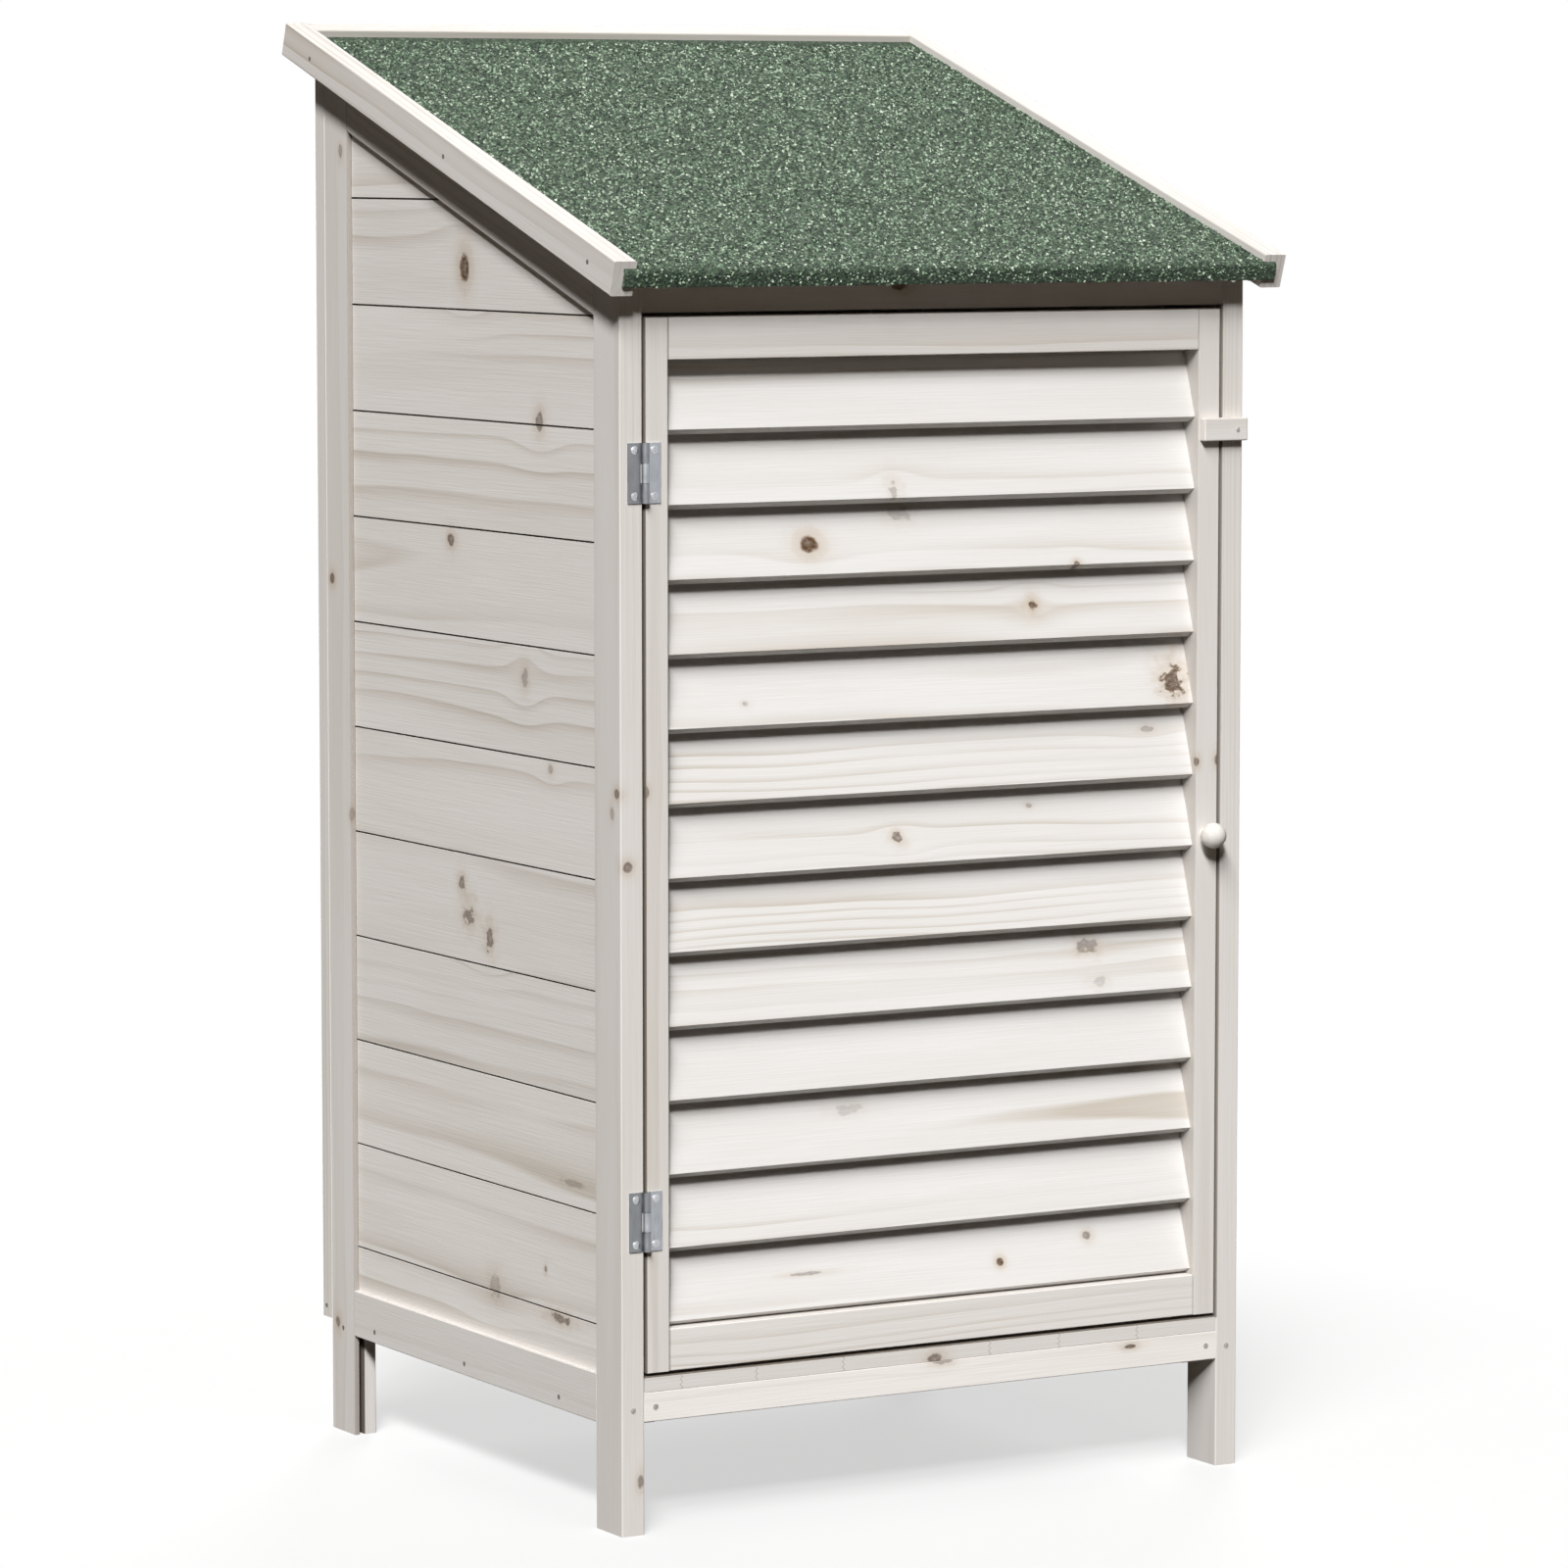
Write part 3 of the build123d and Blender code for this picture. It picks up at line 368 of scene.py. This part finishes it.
whitewashed_pine("right_side_boards", BACK, UP, 32, [
    ((-board_x, -0.0900, 0.7400), (0.008, 0.007, DEEP), 0.35, 0.9),
    ((-board_x, 0.0700, 0.5050), (0.006, 0.006, DEEP), 0.6, 0.8),
    ((-board_x, -0.0300, 0.2850), (0.009, 0.006, DEEP), 1.2, 0.7),
    ((-board_x, 0.1300, 0.8350), (0.005, 0.005, DEEP), 0.5, 0.8),
], courses=(SIDE_JOINT, BOARD_PITCH), lines=1.2, wash=(1.08, 1.08, 1.08), marks=side_joints)

# Back panel
# A frame of stiles and rails with level boards in its grooves, screwed as one panel to the
# back posts. Its foot stands a little higher than the side rails.
for number, side in enumerate(("left", "right")):
    whitewashed_pine(f"back_{side}_stile", UP, RIGHT, 41 + number)
whitewashed_pine("back_bottom_rail", RIGHT, UP, 43)
whitewashed_pine("back_top_rail", RIGHT, UP, 44)
BACK_JOINT = 0.1575
whitewashed_pine("back_boards", RIGHT, UP, 45, [
    ((-0.1200, 0.2400, 0.8100), (0.008, 0.007, DEEP), 0.4, 0.9),
    ((0.0900, 0.2400, 0.6400), (0.006, 0.006, DEEP), 0.6, 0.8),
    ((-0.0400, 0.2400, 0.3300), (0.010, 0.006, DEEP), 1.3, 0.7),
    ((0.1500, 0.2400, 0.2300), (0.005, 0.005, DEEP), 0.5, 0.8),
], courses=(BACK_JOINT, BOARD_PITCH))

# Header, sill, floor and door stop
# The header closes the gap under the roof, and the sill carries the front edge of the floor
# planks. The planks lie on a cleat along each side. A lath behind the post stops the door.
whitewashed_pine("front_header", RIGHT, UP, 51, [
    ((-0.0330, front_y, 0.8745), (0.008, 0.004, SKIN), 0.6, 0.9),
])
# Painted light: the sill's wash is drawn lighter than the other pieces, standing in for light thrown up
# from the floor.
whitewashed_pine("front_sill", RIGHT, UP, 52, [
    ((0.1657, front_y, 0.0967), (0.006, 0.002, SKIN), 0.8, 0.9),
    ((0.0040, front_y, 0.1010), (0.008, 0.003, SKIN), 0.9, 0.6),
], lines=0.6, wash=(1.2, 1.2, 1.2))
for number, side in enumerate(("left", "right")):
    whitewashed_pine(f"{side}_floor_cleat", BACK, UP, 53 + number)
FLOOR_PITCH = 0.092
FINGER_JOINTS = (-0.2103, -0.1493, -0.0777, 0.0453, 0.1047, 0.1725)


def finger_joints_and_threshold_shade(tree, spot):
    """Glue lines that zigzag up the front edge, and painted shade on the floor's top at the front of the
    door gap.
    """
    x, y, z = put(tree, "ShaderNodeSeparateXYZ", {0: spot}).outputs
    swing = reckon(tree, "MULTIPLY", reckon(tree, "PINGPONG", z, 0.0019), 1.1)
    line = 0.0
    for joint in FINGER_JOINTS:
        near = reckon(tree, "COMPARE", reckon(tree, "ADD", x, swing), joint, 0.0004)
        line = reckon(tree, "MAXIMUM", line, near)
    # Painted shade on the front of the floor's top, under the door.
    threshold_shade = unwashed_and_shaded_places(({1: front_edge, 2: (0.1124, FACE)}, 0.9))(tree, spot)
    on_edge = reckon(tree, "COMPARE", y, front_y, 0.003)
    line = reckon(tree, "MULTIPLY", reckon(tree, "MULTIPLY", line, on_edge), 0.4)
    return reckon(tree, "MAXIMUM", line, threshold_shade)


whitewashed_pine("floor_boards", RIGHT, BACK, 55, [
    ((-0.0020, front_y, 0.1035), (0.007, SKIN, 0.004), 0.8, 0.8),
], courses=(front_y, FLOOR_PITCH), marks=finger_joints_and_threshold_shade)
whitewashed_pine("door_stop", UP, RIGHT, 56)

# Roof boards
# Planks laid across the slope, their ends housed in the barge boards and covered by felt,
# so that only their undersides show from inside the shed.
PLANK_PITCH = 0.0762
first_plank = Vector(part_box("roof_deck")[0]).dot(Vector(UP_ROOF))
whitewashed_pine("roof_deck", RIGHT, UP_ROOF, 61, courses=(first_plank, PLANK_PITCH))

# Roof felt
# Bitumen felt with crushed green stone pressed into it, turned down over the front edge.
# The stone is made as separate chips of mixed greens that stand out of the sheet.
felt = bpy.data.materials.new("roof_felt_bitumen")
felt.use_nodes = True
tree = felt.node_tree
shader = tree.nodes["Principled BSDF"]
spot = put(tree, "ShaderNodeTexCoord").outputs["Object"]
chips = put(tree, "ShaderNodeTexVoronoi", {"Vector": spot, "Scale": 520.0})
greens = [
    (0.0, (0.006, 0.012, 0.007, 1)),
    (0.3, (0.022, 0.038, 0.023, 1)),
    (0.7, (0.060, 0.094, 0.059, 1)),
    (0.95, (0.15, 0.20, 0.145, 1)),
]
tree.links.new(ramp(tree, chips.outputs["Color"], greens), shader.inputs["Base Color"])
shader.inputs["Roughness"].default_value = 0.85
relief = {"Height": chips.outputs["Distance"], "Strength": 0.8, "Distance": 0.001}
bump = put(tree, "ShaderNodeBump", relief)
tree.links.new(bump.outputs[0], shader.inputs["Normal"])
slots = pieces["roof_felt"].data.materials
slots.clear()
slots.append(felt)

stone = bpy.data.materials.new("crushed_green_stone")
stone.use_nodes = True
tree = stone.node_tree
shader = tree.nodes["Principled BSDF"]
tint = put(tree, "ShaderNodeAttribute", attribute_name="chip_tint").outputs["Fac"]
stone_greens = [
    (0.0, (0.005, 0.010, 0.006, 1)),
    (0.30, (0.031, 0.058, 0.034, 1)),
    (0.52, (0.116, 0.186, 0.115, 1)),
    (0.75, (0.26, 0.365, 0.247, 1)),
    (0.94, (0.46, 0.57, 0.435, 1)),
    (1.0, (0.66, 0.73, 0.62, 1)),
]
tree.links.new(ramp(tree, tint, stone_greens), shader.inputs["Base Color"])
shader.inputs["Roughness"].default_value = 0.7

deck_front, deck_back = -0.0234, 0.51019
felt_top, lip_round, felt_skin = 0.0135, 0.004, 0.0025
front_height = 0.8838


def on_roof(length, lift):
    """Point of the roof's side profile, along the slope and square to it."""
    return (
        front_y + length * math.cos(pitch) - lift * math.sin(pitch),
        front_height + length * math.sin(pitch) + lift * math.cos(pitch),
    )


nose = deck_front - felt_skin
profile = [on_roof(nose, 0.0008), on_roof(nose, felt_top - lip_round)]
for step in range(1, 7):
    turn = math.radians(15 * step)
    profile.append(on_roof(
        nose + lip_round * (1 - math.cos(turn)), felt_top - lip_round * (1 - math.sin(turn))
    ))
profile.append(on_roof(0.4915, felt_top))
half_felt = 0.2601
strips = [(2 * row, 2 * row + 1, 2 * row + 3, 2 * row + 2) for row in range(len(profile) - 1)]


def chip_tree(seed):
    """Geometry nodes that scatter stone chips over a sheet of felt."""
    tree = bpy.data.node_groups.new("stone_chips", "GeometryNodeTree")
    tree.interface.new_socket("Felt", in_out="INPUT", socket_type="NodeSocketGeometry")
    sizes = {"Spacing": 0.0017, "Density": 260000.0, "Smallest": 0.0009, "Largest": 0.0021}
    for label, value in sizes.items():
        socket = tree.interface.new_socket(label, in_out="INPUT", socket_type="NodeSocketFloat")
        socket.default_value = value
    tree.interface.new_socket("Chips", in_out="OUTPUT", socket_type="NodeSocketGeometry")
    taken = tree.nodes.new("NodeGroupInput").outputs
    scatter = put(
        tree,
        "GeometryNodeDistributePointsOnFaces",
        {
            "Mesh": taken["Felt"],
            "Distance Min": taken["Spacing"],
            "Density Max": taken["Density"],
            "Seed": seed,
        },
        distribute_method="POISSON",
    )
    chip = put(
        tree,
        "GeometryNodeMeshCone",
        {"Vertices": 3, "Radius Top": 0.0, "Radius Bottom": 0.85, "Depth": 1.1},
        fill_type="NGON",
    )
    centred = put(
        tree,
        "GeometryNodeTransform",
        {"Geometry": chip.outputs["Mesh"], "Translation": (0, 0, -0.3)},
    )
    turn = put(
        tree,
        "FunctionNodeRandomValue",
        {0: (0, 0, 0), 1: (6.28, 6.28, 6.28), "Seed": 3},
        data_type="FLOAT_VECTOR",
    )
    size = put(
        tree,
        "FunctionNodeRandomValue",
        {2: taken["Smallest"], 3: taken["Largest"], "Seed": 5},
        data_type="FLOAT",
    )
    placed = put(
        tree,
        "GeometryNodeInstanceOnPoints",
        {
            "Points": scatter.outputs["Points"],
            "Instance": centred.outputs["Geometry"],
            "Rotation": turn.outputs[0],
            "Scale": size.outputs[1],
        },
    )
    tints = put(tree, "FunctionNodeRandomValue", {2: 0.0, 3: 1.0, "Seed": 11}, data_type="FLOAT")
    marked = put(
        tree,
        "GeometryNodeStoreNamedAttribute",
        {"Geometry": placed.outputs[0], "Name": "chip_tint", "Value": tints.outputs[1]},
        data_type="FLOAT",
        domain="INSTANCE",
    )
    solid = put(tree, "GeometryNodeRealizeInstances", {"Geometry": marked.outputs[0]})
    dressed = put(tree, "GeometryNodeSetMaterial", {"Geometry": solid.outputs[0], "Material": stone})
    put(tree, "NodeGroupOutput", {"Chips": dressed.outputs[0]})
    return tree


for seed, side, edges in ((7, "left", (-half_felt, 0)), (8, "right", (0, half_felt))):
    sheet = bpy.data.meshes.new(f"felt_face_{side}")
    sheet.from_pydata([(x, y, z) for y, z in profile for x in edges], [], strips)
    carrier = bpy.data.objects.new(f"felt_chips_{side}", sheet)
    bpy.context.scene.collection.objects.link(carrier)
    scatter = carrier.modifiers.new("stone_chips", "NODES")
    scatter.node_group = chip_tree(seed)
    bpy.context.view_layer.update()
    grown = bpy.data.meshes.new_from_object(carrier.evaluated_get(bpy.context.evaluated_depsgraph_get()))
    carrier.modifiers.remove(scatter)
    carrier.data = grown
    bpy.data.meshes.remove(sheet)
    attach(carrier, "carcass")

# Barge boards
# Three grooved boards frame the roof at the sides and back and hold the ends of the planks.
# They stand a little above the felt and are nailed through into the planks.
for number, side in enumerate(("left", "right")):
    whitewashed_pine(f"{side}_barge_board", UP_ROOF, OFF_ROOF, 71 + number, lines=1.3)
whitewashed_pine("back_barge_board", RIGHT, OFF_ROOF, 73, lines=1.3)

# Door frame
# Two deep stiles and two rails, tenoned together. The stiles are housed for the slats, and
# the bottom rail closes the foot of the door.
door_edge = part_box("door_latch_stile")[1].x
slat_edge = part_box("door_latch_stile")[0].x
door_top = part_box("door_latch_stile")[1].z
# Painted shade: the front of the door's top face, in the gap under the header, is drawn dark.
painted_top_shade = ({1: (front_y + 0.005, 0.007), 2: (door_top, FACE)}, 0.9)
whitewashed_pine("door_hinge_stile", UP, RIGHT, 81, [
    ((-door_edge, front_y, 0.5249), (0.005, 0.003, SKIN), 0.4, 0.7),
# Painted shade on the front of the hinge stile's outer edge, in the gap by the post.
], lines=0.5, marks=unwashed_and_shaded_places(painted_top_shade, ({0: (-door_edge, FACE), 1: front_edge}, 0.9)))
whitewashed_pine("door_latch_stile", UP, RIGHT, 82, [
    ((slat_edge, front_y, 0.5248), (0.004, 0.003, SKIN), 0.4, 0.8),
    ((door_edge, front_y, 0.5252), (0.005, 0.003, SKIN), 0.4, 0.8),
# Painted shade on the latch stile's inner face beside the slats.
], lines=0.5, marks=unwashed_and_shaded_places(painted_top_shade, ({0: (slat_edge, FACE)}, 0.28)))
shoulders = [({0: (side * slat_edge, FACE)}, 0.5) for side in (-1, 1)]
whitewashed_pine("door_top_rail", RIGHT, UP, 83, lines=1.3, marks=unwashed_and_shaded_places(painted_top_shade, *shoulders))
whitewashed_pine("door_bottom_rail", RIGHT, UP, 84, wash=(1.06, 1.06, 1.06), marks=unwashed_and_shaded_places(*shoulders))

# Door slats
# Thirteen thin boards slope down and outwards like a blind, let into the stiles at both
# ends. They shed the rain and let the shed breathe.
tilt = math.radians(17.5)
UP_SLAT = (0, math.sin(tilt), math.cos(tilt))
slat_knots = {
    2: [(-0.0338, -0.0232, 0.005, 0.007, 1.6, 0.45)],
    3: [(-0.1006, -0.0072, 0.0085, 0.0075, 0.5, 1.0), (-0.0230, 0.0124, 0.010, 0.006, 1.2, 0.35),
        (0.1197, -0.0291, 0.003, 0.003, 0.5, 0.8)],
    4: [(0.0862, -0.0051, 0.0045, 0.0055, 1.4, 0.95)],
    5: [(0.2075, -0.0112, 0.010, 0.012, 1.8, 0.95), (-0.1538, -0.0132, 0.003, 0.002, 0.8, 0.45)],
    6: [(0.1874, 0.0059, 0.006, 0.003, 1.2, 0.45)],
    7: [(0.0860, 0.0074, 0.003, 0.002, 0.8, 0.5), (-0.0275, -0.0105, 0.0045, 0.0045, 1.2, 0.8)],
    9: [(0.1368, 0.0077, 0.008, 0.006, 1.6, 0.6), (0.1419, -0.0210, 0.007, 0.004, 1.4, 0.3)],
    11: [(-0.0659, 0.0060, 0.012, 0.004, 1.2, 0.3)],
    13: [(0.0593, -0.0105, 0.0035, 0.0035, 0.3, 1.0), (0.1367, 0.0024, 0.004, 0.004, 0.7, 0.7),
         (-0.1016, -0.0051, 0.016, 0.0015, 0.8, 0.55)],
}
for row in range(1, 14):
    name = f"door_slat_{row:02d}"
    low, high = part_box(name)
    middle = (low + high) / 2
    knots = [
        (middle + Vector((x, 0, 0)) + up * Vector(UP_SLAT), (wide, tall, DEEP), ragged, strength)
        for x, up, wide, tall, ragged, strength in slat_knots.get(row, [])
    ]
    whitewashed_pine(name, RIGHT, UP_SLAT, 90 + row, knots, lines=1.2, wash=(1.0, 1.02, 1.045))

# Knob and turn button
# A turned knob pulls the door, and a flat wooden button on one loose screw turns across the
# stile to hold it shut.
whitewashed_pine("door_knob", BACK, UP, 111, lines=0.5)
whitewashed_pine("turn_button", RIGHT, UP, 112, lines=0.7)

# Hinges, screws and nails
# Two steel butt hinges with three knuckles each and cross-head screws, bright zinc plated and dulled
# by handling, and round nail heads drawn dark.
def zinc_plate(name, nodes, colour, dullness):
    finish = bpy.data.materials.new(name)
    finish.use_nodes = True
    tree = finish.node_tree
    shader = tree.nodes["Principled BSDF"]
    shader.inputs["Metallic"].default_value = 1.0
    spot = put(tree, "ShaderNodeTexCoord").outputs["Object"]
    brushed = cloud(tree, spot, (900, 900, 60), 3.0)
    blotch = cloud(tree, spot, (160, 160, 160), 3.0)
    dark = tuple(0.72 * part for part in colour[:3]) + (1,)
    mixed = reckon(tree, "MULTIPLY", reckon(tree, "ADD", brushed, blotch), 0.5)
    tree.links.new(ramp(tree, mixed, [(0.3, dark), (0.7, colour)]), shader.inputs["Base Color"])
    rough = ramp(tree, blotch, [(0.3, dullness - 0.08), (0.7, dullness + 0.08)])
    tree.links.new(rough, shader.inputs["Roughness"])
    scratch = put(tree, "ShaderNodeBump", {"Height": brushed, "Strength": 0.15, "Distance": 0.0001})
    tree.links.new(scratch.outputs[0], shader.inputs["Normal"])
    for node in nodes:
        slots = pieces[node].data.materials
        slots.clear()
        slots.append(finish)


# The same zinc is drawn darker on the post leaves and lighter on the door leaves: painted reflection.
leaf_colours_painted_light = {
    "post_leaf": (0.29, 0.30, 0.315, 1),
    "door_leaf": (0.45, 0.47, 0.50, 1),
    "pin": (0.40, 0.41, 0.43, 1),
}
for kind, colour in leaf_colours_painted_light.items():
    zinc_plate(f"zinc_{kind}", [f"upper_hinge_{kind}", f"lower_hinge_{kind}"], colour, 0.42)
zinc_plate("zinc_hinge_screw", ["hinge_post_screws", "hinge_door_screws"], (0.62, 0.63, 0.65, 1), 0.3)
screws = ["frame_screws", "back_panel_screws", "turn_button_screw", "door_knob_screw"]
zinc_plate("zinc_screw", screws, (0.47, 0.46, 0.445, 1), 0.32)
# The nail heads are drawn dark, much darker than the screws.
nails = ["cleat_nails", "barge_nails", "back_frame_nails"]
zinc_plate("zinc_nail", nails, (0.17, 0.165, 0.16, 1), 0.45)

# Studio
# A pale floor that fades into a white background. The light is one long strip that leans from
# the front up to the left, made of four lamps, with a rim lamp behind on the right. A long
# lens stands to the front and left of the shed, at the height of the roof.
scene = bpy.context.scene
scene.view_settings.view_transform = "Standard"

ground = bpy.data.meshes.new("studio_floor")
reach = 14.0
corners = [(-reach, -reach, 0), (reach, -reach, 0), (reach, reach, 0), (-reach, reach, 0)]
ground.from_pydata(corners, [], [(0, 1, 2, 3)])
floor = bpy.data.objects.new("studio_floor", ground)
scene.collection.objects.link(floor)
paper = bpy.data.materials.new("studio_paper")
paper.use_nodes = True
tree = paper.node_tree
tree.nodes.clear()
spot = put(tree, "ShaderNodeTexCoord").outputs["Object"]
distance = measure(tree, "LENGTH", spot)
fade = ramp(tree, reckon(tree, "DIVIDE", distance, 4.0), [(0.09, 0.62), (0.25, 1.0)], "EASE")
rays = put(tree, "ShaderNodeLightPath").outputs
seen = reckon(tree, "MAXIMUM", rays["Is Camera Ray"], rays["Is Glossy Ray"])
shade = blend(tree, seen, (0.05, 0.042, 0.034, 1), (0.80, 0.80, 0.80, 1))
matt = put(tree, "ShaderNodeBsdfDiffuse", {"Color": shade})
white = put(tree, "ShaderNodeEmission", {"Color": (1, 1, 1, 1), "Strength": 1.0})
glow = reckon(tree, "MULTIPLY", fade, seen)
mix = put(tree, "ShaderNodeMixShader", {0: glow, 1: matt.outputs[0], 2: white.outputs[0]})
put(tree, "ShaderNodeOutputMaterial", {"Surface": mix.outputs[0]})
ground.materials.append(paper)

world = bpy.data.worlds.new("studio")
scene.world = world
world.use_nodes = True
tree = world.node_tree
tree.nodes.clear()
rays = put(tree, "ShaderNodeLightPath").outputs
shown = reckon(tree, "MAXIMUM", rays["Is Camera Ray"], rays["Is Glossy Ray"])
shown = reckon(tree, "MAXIMUM", shown, rays["Is Transmission Ray"])
soft = put(tree, "ShaderNodeBackground", {"Color": (1, 0.79, 0.63, 1), "Strength": 0.05})
white = put(tree, "ShaderNodeBackground", {"Color": (1, 1, 1, 1), "Strength": 1.0})
mix = put(tree, "ShaderNodeMixShader", {0: shown, 1: soft.outputs[0], 2: white.outputs[0]})
put(tree, "ShaderNodeOutputWorld", {"Surface": mix.outputs[0]})

lamps = {
    "strip_low_front": ((-0.431, -0.705, 0.564), 0.66, 8),
    "strip_middle_front": ((-0.463, -0.590, 0.661), 0.40, 9),
    "strip_middle_side": ((-0.484, -0.464, 0.742), 0.28, 10),
    "strip_high_side": ((-0.494, -0.312, 0.811), 0.15, 10),
    "right_back_rim": ((0.55, 0.75, 0.36), 0.5, 17),
}
for name, (direction, level, spread) in lamps.items():
    light = bpy.data.lights.new(name, "SUN")
    light.angle = math.radians(spread)
    light.energy = level * math.pi
    lamp = bpy.data.objects.new(name, light)
    lamp.location = 4 * Vector(direction)
    lamp.rotation_euler = Vector(direction).to_track_quat("Z", "Y").to_euler()
    scene.collection.objects.link(lamp)

lens = bpy.data.cameras.new("camera")
lens.lens = 149.595
lens.sensor_width = 36.0
lens.clip_end = 100.0
camera = bpy.data.objects.new("camera", lens)
camera.location = (-2.41846, -4.18744, 0.97525)
camera.rotation_euler = (math.pi / 2 - 0.09807, 0, -0.52503)
scene.collection.objects.link(camera)
scene.camera = camera
